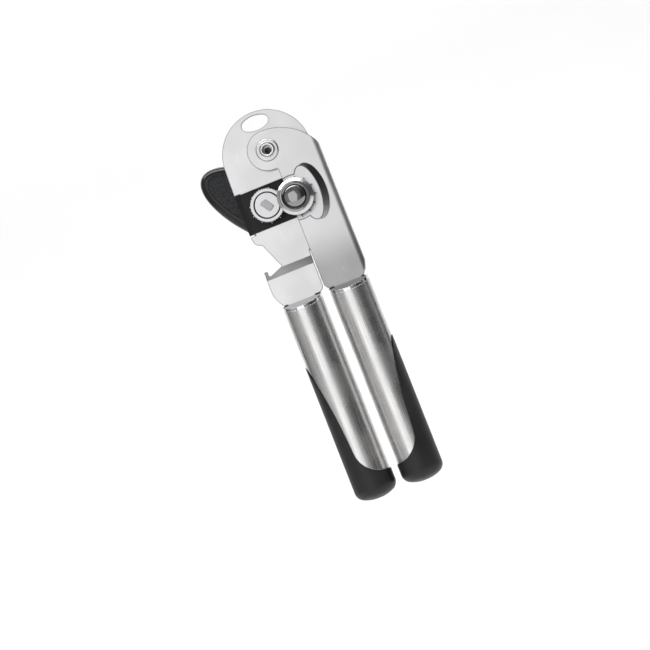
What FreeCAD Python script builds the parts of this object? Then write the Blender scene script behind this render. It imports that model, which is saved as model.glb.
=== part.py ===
import FreeCAD, Part
import math
import os
from types import SimpleNamespace

import Sketcher

# Hand-held can opener: two stamped steel arms on one tubular rivet, a turning knob that drives
# a serrated feed wheel, and a cutting wheel geared to it.
# Frame: origin at the pivot, +Z towards the rounded head, -Y towards the cutting side.
# A "level" is a distance in front of the rear arm's front face, measured towards -Y.

V = FreeCAD.Vector
SIZES = [
    # stamped arms
    ("plate_thickness", 1.6), ("arm_gap", 0.4), ("head_radius", 21.9),
    ("head_centre_left", 0.9), ("head_centre_drop", 1.8), ("rear_edge_left", 23.2),
    ("seam_side", 1.3), ("seam_gap", 0.6), ("web_width", 11.7), ("bay_depth", 2.0),
    ("bay_wall", 1.6), ("bay_step", 2.9), ("bay_lap", 0.5), ("flange_clearance", 1.6),
    ("flange_bend_radius", 2.4), ("flange_depth", 8.0), ("eye_radius", 9.9), ("shoulder_margin", 2.7),
    ("landing_margin", 0.6), ("sweep_margin", 1.0),
    ("arm_drop", 73.0), ("jog_top_drop", 54.8), ("jog_height", 4.0),
    # slot in the head
    ("slot_length", 13.5), ("slot_height", 7.3), ("slot_rise", 14.65), ("slot_left", 1.0),
    # raised guard beside the cutter
    ("guard_length", 28.4), ("guard_width", 14.0), ("guard_right", 13.0),
    ("guard_height", 1.7), ("guard_rim", 3.3), ("guard_slope", 3.1), ("guard_sink", 0.5),
    # pivot
    ("rivet_bore", 2.3), ("rivet_bore_depth", 4.8), ("rivet_radius", 3.1), ("rivet_head_radius", 3.9),
    ("rivet_head_height", 0.8), ("rivet_foot_radius", 4.5), ("rivet_foot_height", 1.0),
    ("boss_radius", 5.4), ("boss_height", 0.7), ("washer_radius", 6.6),
    ("turning_clearance", 0.05), ("side_clearance", 0.05),
    # drive and cutter axes
    ("drive_left", 9.5), ("drive_drop", 25.2), ("cutter_right", 4.65), ("cutter_drop", 26.4),
    # gears, feed wheel and cutting wheel
    ("drive_teeth", 11), ("cutter_teeth", 13), ("tooth_reach", 2.3), ("tooth_gap", 0.15),
    ("gear_thickness", 1.3), ("gear_lift", 0.6), ("gear_turn_deg", 6.0),
    ("feed_radius", 8.4), ("feed_teeth", 40),
    ("feed_tooth_depth", 0.6), ("feed_thickness", 1.65), ("feed_face_radius", 5.9),
    ("feed_groove_width", 0.7), ("feed_groove_depth", 0.8),
    ("feed_lift", 0.3), ("feed_hub_radius", 4.0), ("cutter_radius", 8.9),
    ("cutter_thickness", 1.5), ("cutter_gap", 0.4), ("cutter_flat_radius", 6.9),
    ("hub_radius", 4.7), ("hub_spigot_radius", 3.4), ("stud_radius", 2.5),
    ("stud_neck_radius", 1.9), ("cap_radius", 7.5), ("cap_height", 2.3),
    ("spring_thickness", 0.5), ("spring_radius", 5.0),
    # drive shaft and its bushing
    ("shaft_radius", 3.1), ("shaft_flat", 1.8), ("shaft_tip", 0.6), ("bushing_radius", 4.9),
    ("bushing_recess", 0.4), ("bushing_tail", 1.2), ("bushing_nose_radius", 4.1),
    ("bay_clearance", 1.2), ("shaft_turn_deg", 55.0), ("thrust_washer_thickness", 0.7),
    # knob
    ("knob_length", 75.0), ("knob_width", 31.0), ("knob_thickness", 12.0),
    ("knob_round", 4.0), ("knob_rim", 4.2), ("knob_pad_sink", 1.2), ("knob_pad_step", 0.3),
    ("knob_stand_off", 9.5), ("knob_neck_radius", 7.5), ("knob_tilt_deg", 45.0),
    ("knob_socket_depth", 8.0),
    # handles
    ("rear_handle_left", 11.0), ("front_handle_right", 12.9), ("sleeve_radius", 10.0),
    ("sleeve_wall", 0.8), ("sleeve_reach", 90.5), ("grip_radius", 10.4),
    ("grip_start", 30.0), ("grip_tail", 11.3), ("core_inset", 3.0),
    ("ferrule_slope", 3.3), ("ferrule_height", 1.6), ("spigot_length", 5.0),
    ("tang_width", 14.0), ("tang_length", 35.0), ("tang_clearance", 0.1),
    ("pin_reach", 22.0), ("pin_radius", 1.5), ("seat_clearance", 0.05),
]

doc = FreeCAD.newDocument("can_opener")
sheet = doc.addObject("Spreadsheet::Sheet", "dims")
for row, (alias, number) in enumerate(SIZES, start=1):
    sheet.set("A%d" % row, alias)
    sheet.set("B%d" % row, str(number))
    sheet.setAlias("B%d" % row, alias)
doc.recompute()
size = SimpleNamespace(**{alias: float(sheet.get(alias)) for alias, _ in SIZES})

# Levels of the stack, from the rear arm outwards.
FRONT_PLATE_BACK = size.arm_gap
FRONT_PLATE_FACE = FRONT_PLATE_BACK + size.plate_thickness
GEAR_BACK = FRONT_PLATE_FACE + size.gear_lift
GEAR_FACE = GEAR_BACK + size.gear_thickness
FEED_BACK = GEAR_FACE + size.feed_lift
FEED_FACE = FEED_BACK + size.feed_thickness
CUTTER_BACK = FEED_FACE + size.cutter_gap
CUTTER_FACE = CUTTER_BACK + size.cutter_thickness
CAP_BACK = CUTTER_FACE + size.side_clearance * 3
FLOOR_FACE = -size.bay_depth
FLOOR_BACK = FLOOR_FACE - size.plate_thickness
BUSHING_BACK = FLOOR_BACK - size.bushing_tail
KNOB_FACE = -size.knob_stand_off

# Places that several pieces share.
DRIVE = V(-size.drive_left, 0, -size.drive_drop)
CUTTER = V(size.cutter_right, 0, -size.cutter_drop)
CENTRES = (CUTTER - DRIVE).Length
GEAR_LINE = math.degrees(math.atan2(CUTTER.z - DRIVE.z, CUTTER.x - DRIVE.x))
DRIVE_PITCH = CENTRES * size.drive_teeth / (size.drive_teeth + size.cutter_teeth)
CUTTER_PITCH = CENTRES - DRIVE_PITCH
BAY_TOP = DRIVE.z + DRIVE_PITCH + size.tooth_reach + size.bay_clearance
BAY_BOTTOM = DRIVE.z - DRIVE_PITCH - size.tooth_reach - size.bay_clearance
LEFT = -size.rear_edge_left
BAY_LEFT = LEFT + size.bay_step
REAR_SEAM = size.seam_side - size.seam_gap / 2
FRONT_SEAM = size.seam_side + size.seam_gap / 2
WEB_RIGHT = size.seam_side + size.web_width
HANDLE_LEVEL = FRONT_PLATE_BACK + size.plate_thickness / 2
ARM_END = -size.arm_drop
FLANGE_RIGHT = (size.head_radius - size.head_centre_left + size.flange_clearance
                + size.plate_thickness)
SHOULDER = FLANGE_RIGHT + size.shoulder_margin
TANG_END = ARM_END - size.tang_length
PIN_AT = ARM_END - size.pin_reach
SLEEVE_END = ARM_END - size.sleeve_reach
HANDLE_END = SLEEVE_END - size.grip_tail
CORE_END = SLEEVE_END + size.core_inset
GRIP_TOP = ARM_END - size.grip_start
KNOB_NECK = size.knob_stand_off + BUSHING_BACK - size.thrust_washer_thickness


def new_body(label, place=V(0, 0, 0), turn=0.0):
    """One piece, in its own frame; turn is about the Y axis, in degrees."""
    body = doc.addObject("PartDesign::Body", label)
    body.Label = label
    body.Placement = FreeCAD.Placement(place, FreeCAD.Rotation(V(0, 1, 0), turn))
    return body


def new_sketch(body, role, offset=0.0):
    sketch = body.newObject("Sketcher::SketchObject", body.Name + "_sketch")
    plane = [item for item in body.Origin.OriginFeatures if item.Role == role][0]
    sketch.AttachmentSupport = [(plane, "")]
    sketch.MapMode = "FlatFace"
    sketch.AttachmentOffset = FreeCAD.Placement(V(0, 0, offset), FreeCAD.Rotation())
    return sketch


def draw(sketch, start, *steps):
    """A closed outline: a step of 2 numbers is a line, one of 4 an arc through a point."""
    here = V(start[0], start[1], 0)
    for step in list(steps) + [start]:
        end = V(step[-2], step[-1], 0)
        if (end - here).Length < 1e-6:
            continue
        if len(step) == 4:
            edge = Part.Arc(here, V(step[0], step[1], 0), end)
        else:
            edge = Part.LineSegment(here, end)
        index = sketch.addGeometry(edge, False)
        sketch.addConstraint(Sketcher.Constraint("Block", index))
        here = end


def circle(sketch, radius, x=0.0, y=0.0):
    """A circle whose radius is an expression of the sheet."""
    index = sketch.addGeometry(Part.Circle(V(x, y, 0), V(0, 0, 1), 1.0), False)
    number = sketch.addConstraint(Sketcher.Constraint("Radius", index, 1.0))
    sketch.setExpression("Constraints[%d]" % number, radius)


def pad(body, sketch, length):
    feature = body.newObject("PartDesign::Pad", body.Name + "_pad")
    feature.Profile = sketch
    feature.setExpression("Length", length)
    body.Tip = feature
    doc.recompute()
    return feature


def cut(body, sketch, depth=None):
    """A pocket of the given depth, or right through both ways."""
    before = body.Tip.Shape.Volume
    feature = body.newObject("PartDesign::Pocket", body.Name + "_cut")
    feature.Profile = sketch
    if depth is None:
        feature.Type = "ThroughAll"
        feature.Midplane = True
    else:
        feature.setExpression("Length", depth)
    body.Tip = feature
    doc.recompute()
    if not feature.Shape.Volume < before:
        raise RuntimeError(body.Label + ": a cut removed nothing")
    return feature


def revolve(body, sketch, axis="V_Axis"):
    feature = body.newObject("PartDesign::Revolution", body.Name + "_turned")
    feature.Profile = sketch
    feature.ReferenceAxis = (sketch, [axis])
    feature.Angle = 360
    body.Tip = feature
    doc.recompute()
    return feature


def round_edges(body, radius, wanted):
    """Fillets every edge of the tip for which wanted(edge) is true."""
    base = body.Tip
    names = ["Edge%d" % (i + 1) for i, edge in enumerate(base.Shape.Edges) if wanted(edge)]
    feature = body.newObject("PartDesign::Fillet", body.Name + "_fillet")
    feature.Base = (base, names)
    feature.setExpression("Radius", radius)
    body.Tip = feature
    doc.recompute()


def slope_edges(body, down, across, wanted):
    """Chamfers every edge of the tip for which wanted(edge) is true."""
    base = body.Tip
    names = ["Edge%d" % (i + 1) for i, edge in enumerate(base.Shape.Edges) if wanted(edge)]
    feature = body.newObject("PartDesign::Chamfer", body.Name + "_slope")
    feature.Base = (base, names)
    feature.ChamferType = "Two distances"
    feature.setExpression("Size", down)
    feature.setExpression("Size2", across)
    body.Tip = feature
    doc.recompute()


def turned_part(label, place, profile, turn=0.0):
    """A piece turned about an axis along Y; the profile is (radius, level) steps."""
    body = new_body(label, place, turn)
    sketch = new_sketch(body, "XY_Plane")
    flipped = [tuple(-n if i % 2 else n for i, n in enumerate(step)) for step in profile]
    draw(sketch, flipped[0], *flipped[1:])
    revolve(body, sketch)
    return body


def flat_ends(sketch, radius, half):
    """A circle with two flats, for the shaft's end and the holes that fit it."""
    side = math.sqrt(radius ** 2 - half ** 2)
    draw(sketch, (-side, half), (side, half), (radius, 0, side, -half), (-side, -half),
         (-radius, 0, -side, half))


def rear_arm_plate():
    body = new_body("rear_arm_plate")
    cx = -size.head_centre_left
    cz = -size.head_centre_drop
    radius = size.head_radius
    low = math.radians(-25)
    end = (cx + radius * math.cos(low), cz + radius * math.sin(low))
    # head
    head = new_sketch(body, "XZ_Plane", -size.plate_thickness)
    draw(head, (LEFT, BAY_TOP + size.bay_lap), (cx - radius, cz), (cx, cz + radius, cx + radius, cz),
         (cx + radius * math.cos(low / 2), cz + radius * math.sin(low / 2), end[0], end[1]),
         (WEB_RIGHT, BAY_TOP), (BAY_LEFT, BAY_TOP), (BAY_LEFT, BAY_TOP + size.bay_lap))
    pad(body, head, "dims.plate_thickness")
    # bay for the drive: two walls and a floor set back from the head
    walls = new_sketch(body, "XZ_Plane", FLOOR_BACK)
    draw(walls, (BAY_LEFT, BAY_TOP + size.bay_wall), (WEB_RIGHT, BAY_TOP + size.bay_wall),
         (WEB_RIGHT, BAY_TOP), (BAY_LEFT, BAY_TOP))
    draw(walls, (BAY_LEFT, BAY_BOTTOM), (WEB_RIGHT, BAY_BOTTOM),
         (WEB_RIGHT, BAY_BOTTOM - size.bay_wall), (BAY_LEFT, BAY_BOTTOM - size.bay_wall))
    pad(body, walls, "dims.bay_depth + dims.plate_thickness")
    floor = new_sketch(body, "XZ_Plane", FLOOR_BACK)
    draw(floor, (BAY_LEFT, BAY_TOP + 0.1), (WEB_RIGHT, BAY_TOP + 0.1),
         (WEB_RIGHT, BAY_BOTTOM - 0.1), (BAY_LEFT, BAY_BOTTOM - 0.1))
    pad(body, floor, "dims.plate_thickness")
    # lower plate, with the slanted lip of the bottle opener
    jog_top = -size.jog_top_drop
    lip_top = BAY_BOTTOM - 6.6
    lower = new_sketch(body, "XZ_Plane", -size.plate_thickness)
    draw(lower, (BAY_LEFT, BAY_BOTTOM), (WEB_RIGHT, BAY_BOTTOM), (WEB_RIGHT, BAY_BOTTOM - 8.7),
         (REAR_SEAM, BAY_BOTTOM - 16.7), (REAR_SEAM, jog_top - 0.2),
         (LEFT + 9.3, jog_top - 0.2), (LEFT + 4.0, lip_top), (LEFT + 2.2, lip_top + 0.8),
         (LEFT + 1.1, lip_top + 1.6, LEFT + 0.7, lip_top + 2.3),
         (LEFT, BAY_BOTTOM - 1.0), (BAY_LEFT, BAY_BOTTOM - 1.0))
    pad(body, lower, "dims.plate_thickness")
    # jog that brings the plate forward to the level of the front arm
    back = size.plate_thickness
    shift = FRONT_PLATE_FACE
    jog_low = jog_top - size.jog_height
    jog = new_sketch(body, "YZ_Plane", LEFT)
    draw(jog, (0, jog_top + 0.4), (back, jog_top + 0.4), (back, jog_top),
         (back - shift, jog_low), (back - shift, jog_low - 0.4), (-shift, jog_low - 0.4),
         (-shift, jog_low), (0, jog_top))
    pad(body, jog, "dims.rear_edge_left + %r" % REAR_SEAM)
    # lower end and tang, at the front arm's level
    tang_left = -size.rear_handle_left - size.tang_width / 2
    tang_right = tang_left + size.tang_width
    tail = new_sketch(body, "XZ_Plane", FRONT_PLATE_BACK)
    draw(tail, (LEFT, jog_low), (REAR_SEAM, jog_low), (REAR_SEAM, ARM_END + 2.6),
         (REAR_SEAM - 0.8, ARM_END + 1.0, REAR_SEAM - 3.2, ARM_END), (tang_right, ARM_END),
         (tang_right, TANG_END), (tang_left, TANG_END),
         (tang_left, ARM_END), (LEFT + 3.4, ARM_END),
         (LEFT + 1.1, ARM_END + 3.6, LEFT, ARM_END + 7.4))
    pad(body, tail, "dims.plate_thickness")
    # mouth of the bottle opener, with a hooked tooth on its outer side
    mouth = new_sketch(body, "XZ_Plane", FRONT_PLATE_FACE)
    draw(mouth, (LEFT - 1.0, jog_top + 0.5), (LEFT - 1.0, jog_top + 1.5),
         (LEFT + 9.0, jog_top + 1.5), (LEFT + 8.6, jog_top + 0.1),
         (LEFT + 2.9, jog_top - 2.2), (LEFT + 1.9, jog_top - 2.1, LEFT + 1.5, jog_top - 1.0),
         (LEFT + 1.5, jog_top + 0.5))
    cut(body, mouth, "2 * dims.plate_thickness + 2 * dims.arm_gap + 2")
    # slot in the head
    slot = new_sketch(body, "XZ_Plane", 1.0)
    left = -size.slot_left - size.slot_length / 2
    right = left + size.slot_length
    top = size.slot_rise + size.slot_height / 2
    foot = top - size.slot_height
    shoulder = size.slot_length * 0.115
    drop = size.slot_height * 0.16
    draw(slot, (left + shoulder, foot + drop),
         (-size.slot_left, foot, right - shoulder, foot + drop),
         (right, size.slot_rise, right - shoulder, top - drop),
         (-size.slot_left, top, left + shoulder, top - drop),
         (left, size.slot_rise, left + shoulder, foot + drop))
    cut(body, slot, "dims.plate_thickness + 2")
    # holes for the rivet, the bushing and the handle pin
    holes = new_sketch(body, "XZ_Plane", 10.0)
    circle(holes, "dims.rivet_radius")
    circle(holes, "dims.bushing_radius", DRIVE.x, DRIVE.z)
    circle(holes, "dims.pin_radius", -size.rear_handle_left, PIN_AT)
    cut(body, holes, "30")
    return body


def front_arm_plate():
    body = new_body("front_arm_plate")
    right = FLANGE_RIGHT
    bend = size.flange_bend_radius
    thick = size.plate_thickness
    inner = bend - thick
    face = -FRONT_PLATE_FACE
    half = math.sqrt(0.5)
    # channel section: the flat plate, a rolled bend and a side flange
    section = new_sketch(body, "XY_Plane", ARM_END)
    draw(section, (-size.eye_radius - 1, face), (right - bend, face),
         (right - bend + bend * half, face + bend - bend * half, right, face + bend),
         (right, face + size.flange_depth), (right - thick, face + size.flange_depth),
         (right - thick, face + bend),
         (right - bend + inner * half, face + bend - inner * half, right - bend, face + thick),
         (-size.eye_radius - 1, face + thick))
    pad(body, section, "dims.arm_drop + dims.eye_radius + 1")
    # outline: everything outside it is cut away
    eye = size.eye_radius
    centre = eye - 0.2 - SHOULDER
    reach = right + 1
    fall = centre + math.sqrt(SHOULDER ** 2 - reach ** 2)
    middle = reach / 2
    mid_fall = centre + math.sqrt(SHOULDER ** 2 - middle ** 2)
    neck = -math.sqrt(eye ** 2 - FRONT_SEAM ** 2) - 0.3
    outside = new_sketch(body, "XZ_Plane", 10.0)
    draw(outside, (-40, -120), (60, -120), (60, 40), (-40, 40))
    draw(outside, (FRONT_SEAM, ARM_END + 2.6), (FRONT_SEAM, neck - 1.0),
         (FRONT_SEAM - 0.2, neck - 0.3, FRONT_SEAM - 1.0, neck),
         (-eye, -0.2, 0, eye - 0.2), (middle, mid_fall, reach, fall), (reach, ARM_END + 9.0),
         (right, ARM_END + 7.4), (right - 1.1, ARM_END + 3.6, right - 3.4, ARM_END - 0.5),
         (FRONT_SEAM + 3.2, ARM_END - 0.5), (FRONT_SEAM + 0.8, ARM_END + 1.0,
                                             FRONT_SEAM, ARM_END + 2.6))
    cut(body, outside, "30")
    # tang
    tang_left = size.front_handle_right - size.tang_width / 2
    tang = new_sketch(body, "XZ_Plane", FRONT_PLATE_BACK)
    draw(tang, (tang_left, ARM_END + 2), (tang_left + size.tang_width, ARM_END + 2),
         (tang_left + size.tang_width, TANG_END), (tang_left, TANG_END))
    pad(body, tang, "dims.plate_thickness")
    # raised guard beside the cutter, with a sunk floor
    guard = new_sketch(body, "XZ_Plane", FRONT_PLATE_FACE - 0.5)
    guard.addGeometry(Part.Ellipse(V(size.guard_right, CUTTER.z + size.guard_length / 2, 0),
                                   V(size.guard_right + size.guard_width / 2, CUTTER.z, 0),
                                   V(size.guard_right, CUTTER.z, 0)), False)
    pad(body, guard, "dims.guard_height + 0.5")
    top_level = -(FRONT_PLATE_FACE + size.guard_height)
    slope_edges(body, "dims.guard_height - 0.1", "dims.guard_slope",
                lambda edge: abs(edge.BoundBox.YMin - top_level) < 1e-3
                and edge.BoundBox.YLength < 1e-3)
    sunk = new_sketch(body, "XZ_Plane", FRONT_PLATE_FACE + size.guard_height + 1)
    floor_width = size.guard_width - size.guard_rim + 0.4
    floor_x = size.guard_right + size.guard_width / 2 - size.guard_rim - floor_width / 2
    sunk.addGeometry(Part.Ellipse(V(floor_x, CUTTER.z + size.guard_length / 2 - 0.5, 0),
                                  V(floor_x + floor_width / 2, CUTTER.z, 0),
                                  V(floor_x, CUTTER.z, 0)), False)
    cut(body, sunk, "dims.guard_height + 1 + dims.guard_sink")
    sweep = new_sketch(body, "XZ_Plane", FRONT_PLATE_FACE + size.guard_height + 1)
    sweep.addGeometry(Part.Circle(V(CUTTER.x, CUTTER.z, 0), V(0, 0, 1),
                                  CUTTER_PITCH + size.tooth_reach + size.sweep_margin), False)
    cut(body, sweep, "dims.guard_height + 1 + dims.guard_sink")
    # round landing under the cutter stud
    landing = new_sketch(body, "XZ_Plane", FRONT_PLATE_BACK)
    reach = size.spring_radius + size.landing_margin
    keep = CUTTER.x - FRONT_SEAM
    if reach < keep:
        circle(landing, "dims.spring_radius + dims.landing_margin", CUTTER.x, CUTTER.z)
    else:
        rise = math.sqrt(reach ** 2 - keep ** 2)
        draw(landing, (FRONT_SEAM, CUTTER.z + rise),
             (CUTTER.x + reach, CUTTER.z, FRONT_SEAM, CUTTER.z - rise))
    pad(body, landing, "dims.plate_thickness")
    # raised ring round the rivet
    boss = new_sketch(body, "XZ_Plane", FRONT_PLATE_BACK)
    circle(boss, "dims.boss_radius")
    pad(body, boss, "dims.plate_thickness + dims.boss_height")
    boss_level = -(FRONT_PLATE_FACE + size.boss_height)
    round_edges(body, "dims.boss_height * 0.9",
                lambda edge: abs(edge.BoundBox.YMin - boss_level) < 1e-3
                and edge.BoundBox.YLength < 1e-3
                and abs(edge.BoundBox.XLength - 2 * size.boss_radius) < 1e-2)
    # holes for the rivet, the stud and the handle pin
    holes = new_sketch(body, "XZ_Plane", 10.0)
    circle(holes, "dims.rivet_radius + dims.turning_clearance")
    circle(holes, "dims.stud_neck_radius", CUTTER.x, CUTTER.z)
    circle(holes, "dims.pin_radius", size.front_handle_right, PIN_AT)
    cut(body, holes, "30")
    return body


def pivot_pieces():
    head_back = FRONT_PLATE_FACE + size.boss_height + size.side_clearance
    head_face = head_back + size.rivet_head_height
    foot = -size.plate_thickness - size.rivet_foot_height
    bore = size.rivet_bore
    shank = size.rivet_radius
    head = size.rivet_head_radius
    bottom = head_face - size.rivet_bore_depth
    turned_part("pivot_rivet", V(0, 0, 0), [
        (0, foot), (0, bottom - 0.3), (bore, bottom), (bore, head_face - 0.3),
        (bore + 0.1, head_face - 0.1, bore + 0.3, head_face),
        (head - 0.5, head_face), (head, head_back + 0.4, head - 0.1, head_back),
        (shank, head_back), (shank, -size.plate_thickness),
        (size.rivet_foot_radius, -size.plate_thickness), (size.rivet_foot_radius - 0.6, foot)])
    turned_part("pivot_washer", V(0, 0, 0), [
        (shank + size.turning_clearance, 0),
        (shank + size.turning_clearance, FRONT_PLATE_BACK - size.side_clearance),
        (size.washer_radius, FRONT_PLATE_BACK - size.side_clearance), (size.washer_radius, 0)])


def toothed_outline(sketch, teeth, pitch, turn):
    """Slender can-opener teeth: narrow at the tip, wide at the root."""
    half_pitch = math.pi * pitch / teeth
    tip_half = half_pitch * 0.06
    pitch_half = half_pitch * 0.16
    root_half = half_pitch * 0.25
    root = pitch - size.tooth_reach - size.tooth_gap
    tip = pitch + size.tooth_reach
    flank = [(math.sqrt(root ** 2 - root_half ** 2), root_half), (pitch, pitch_half),
             (tip - tip_half * 0.6, tip_half), (tip, tip_half * 0.35)]
    tooth = [(r, -w) for r, w in flank] + [(r, w) for r, w in reversed(flank)]
    points = []
    for number in range(int(teeth)):
        angle = math.radians(turn + 360 * number / teeth)
        for r, w in tooth:
            points.append((r * math.cos(angle) - w * math.sin(angle),
                           r * math.sin(angle) + w * math.cos(angle)))
    draw(sketch, points[0], *points[1:])


def gear(label, place, teeth, pitch, turn, bore):
    body_turn = size.shaft_turn_deg if bore == "flats" else 0.0
    body = new_body(label, place, body_turn)
    outline = new_sketch(body, "XZ_Plane", GEAR_BACK)
    toothed_outline(outline, teeth, pitch, turn + body_turn)
    pad(body, outline, "dims.gear_thickness")
    if bore == "flats":
        hub = new_sketch(body, "XZ_Plane", GEAR_BACK)
        circle(hub, "dims.feed_hub_radius")
        pad(body, hub, "dims.gear_thickness + dims.feed_lift")
    hole = new_sketch(body, "XZ_Plane", GEAR_FACE + 2)
    if bore == "flats":
        flat_ends(hole, size.shaft_radius, size.shaft_flat)
    else:
        circle(hole, "dims.hub_spigot_radius")
    cut(body, hole, "dims.gear_thickness + 4")
    return body


def feed_wheel():
    body = new_body("feed_wheel", DRIVE, size.shaft_turn_deg)
    rim = new_sketch(body, "XZ_Plane", FEED_BACK)
    points = []
    for number in range(int(2 * size.feed_teeth)):
        angle = math.pi * number / size.feed_teeth
        radius = size.feed_radius - (number % 2) * size.feed_tooth_depth
        points.append((radius * math.cos(angle), radius * math.sin(angle)))
    draw(rim, points[0], *points[1:])
    pad(body, rim, "dims.feed_thickness")
    # groove between the serrated rim and the raised face
    groove = new_sketch(body, "XY_Plane")
    inner = size.feed_face_radius
    outer = inner + size.feed_groove_width
    bed = size.feed_groove_depth - FEED_FACE
    draw(groove, (inner, -FEED_FACE - 0.1), (inner, bed), (outer - 0.2, bed),
         (outer, -FEED_FACE - 0.1))
    ring = body.newObject("PartDesign::Groove", "feed_wheel_groove")
    ring.Profile = groove
    ring.ReferenceAxis = (groove, ["V_Axis"])
    ring.Angle = 360
    body.Tip = ring
    doc.recompute()
    hole = new_sketch(body, "XZ_Plane", FEED_FACE + 2)
    flat_ends(hole, size.shaft_radius, size.shaft_flat)
    cut(body, hole, "dims.feed_thickness + 4")
    return body


def drive_shaft():
    body = new_body("drive_shaft", DRIVE, size.shaft_turn_deg)
    front = FEED_FACE + size.shaft_tip
    stem = new_sketch(body, "XZ_Plane", KNOB_FACE - size.knob_socket_depth)
    circle(stem, "dims.shaft_radius")
    pad(body, stem, "%r" % (front + size.knob_socket_depth - KNOB_FACE))
    round_edges(body, "dims.shaft_tip * 0.6",
                lambda edge: abs(edge.BoundBox.YMin + front) < 1e-3
                and edge.BoundBox.YLength < 1e-3)
    flats = new_sketch(body, "XZ_Plane", front + 1)
    far = size.shaft_radius + 1
    for low in (size.shaft_flat, -far):
        high = low + far - size.shaft_flat
        draw(flats, (-far, low), (far, low), (far, high), (-far, high))
    cut(body, flats, "%r" % (front + 1 - GEAR_BACK + 0.05))
    return body


def drive_bushing():
    body = new_body("drive_bushing")
    face = -size.bushing_recess
    right = FRONT_SEAM + 1.0
    block = new_sketch(body, "XZ_Plane", FLOOR_FACE)
    fit = size.seat_clearance
    draw(block, (BAY_LEFT - 0.2, BAY_TOP - fit), (right, BAY_TOP - fit),
         (right, BAY_BOTTOM + fit), (BAY_LEFT - 0.2, BAY_BOTTOM + fit))
    pad(body, block, "dims.bay_depth - dims.bushing_recess")
    # sloping lip that wraps the left end of the bay
    lip = new_sketch(body, "XY_Plane", BAY_BOTTOM + fit)
    draw(lip, (BAY_LEFT - 0.05, -face), (LEFT - 0.1, -face + 1.1), (LEFT - 0.1, -FLOOR_BACK),
         (BAY_LEFT - fit, -FLOOR_BACK), (BAY_LEFT - fit, -FLOOR_FACE),
         (BAY_LEFT - 0.05, -FLOOR_FACE))
    pad(body, lip, "%r" % (BAY_TOP - BAY_BOTTOM - 2 * fit))
    boss = new_sketch(body, "XZ_Plane", FLOOR_FACE)
    circle(boss, "dims.bushing_nose_radius", DRIVE.x, DRIVE.z)
    pad(body, boss, "%r" % (GEAR_BACK - 2 * size.side_clearance - FLOOR_FACE))
    tail = new_sketch(body, "XZ_Plane", BUSHING_BACK)
    circle(tail, "dims.bushing_radius", DRIVE.x, DRIVE.z)
    pad(body, tail, "%r" % (FLOOR_FACE - BUSHING_BACK + 0.5))
    bore = new_sketch(body, "XZ_Plane", GEAR_BACK + 2)
    circle(bore, "dims.shaft_radius + dims.turning_clearance", DRIVE.x, DRIVE.z)
    cut(body, bore, "40")
    return body


def thrust_washer():
    back = KNOB_FACE + KNOB_NECK
    turned_part("thrust_washer", DRIVE, [
        (size.shaft_radius, back), (size.shaft_radius, BUSHING_BACK - 2 * size.side_clearance),
        (size.knob_neck_radius - 0.5, BUSHING_BACK - 2 * size.side_clearance),
        (size.knob_neck_radius - 0.5, back)])


def oval(sketch, length, width):
    sketch.addGeometry(Part.Ellipse(V(length / 2, 0, 0), V(0, width / 2, 0), V(0, 0, 0)), False)


def knob_pieces():
    body = new_body("knob_body", DRIVE, size.knob_tilt_deg)
    oval_sketch = new_sketch(body, "XZ_Plane", KNOB_FACE - size.knob_thickness)
    oval(oval_sketch, size.knob_length, size.knob_width)
    pad(body, oval_sketch, "dims.knob_thickness")
    round_edges(body, "dims.knob_round", lambda edge: edge.BoundBox.YLength < 1e-3)
    inner_length = size.knob_length - 2 * size.knob_rim
    inner_width = size.knob_width - 2 * size.knob_rim
    front = new_sketch(body, "XZ_Plane", KNOB_FACE)
    oval(front, inner_length, inner_width)
    cut(body, front, "dims.knob_pad_sink")
    back = new_sketch(body, "XZ_Plane", KNOB_FACE - size.knob_thickness + size.knob_pad_sink)
    oval(back, inner_length, inner_width)
    cut(body, back, "dims.knob_pad_sink + 1")
    neck = new_sketch(body, "XZ_Plane", KNOB_FACE - size.knob_pad_sink)
    circle(neck, "dims.knob_neck_radius")
    pad(body, neck, "dims.knob_pad_sink + %r" % KNOB_NECK)
    socket = new_sketch(body, "XZ_Plane", 0.0)
    circle(socket, "dims.shaft_radius")
    cut(body, socket, "dims.knob_stand_off + dims.knob_socket_depth")
    gap = size.seat_clearance
    faces = {"knob_front_pad": KNOB_FACE - size.knob_pad_sink,
             "knob_back_pad": KNOB_FACE - size.knob_thickness + size.knob_pad_step}
    for label, level in faces.items():
        panel = new_body(label, DRIVE, size.knob_tilt_deg)
        face = new_sketch(panel, "XZ_Plane", level)
        oval(face, inner_length - 2 * gap, inner_width - 2 * gap)
        if label == "knob_front_pad":
            circle(face, "dims.knob_neck_radius + dims.seat_clearance")
        pad(panel, face, "dims.knob_pad_sink - dims.knob_pad_step")


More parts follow.
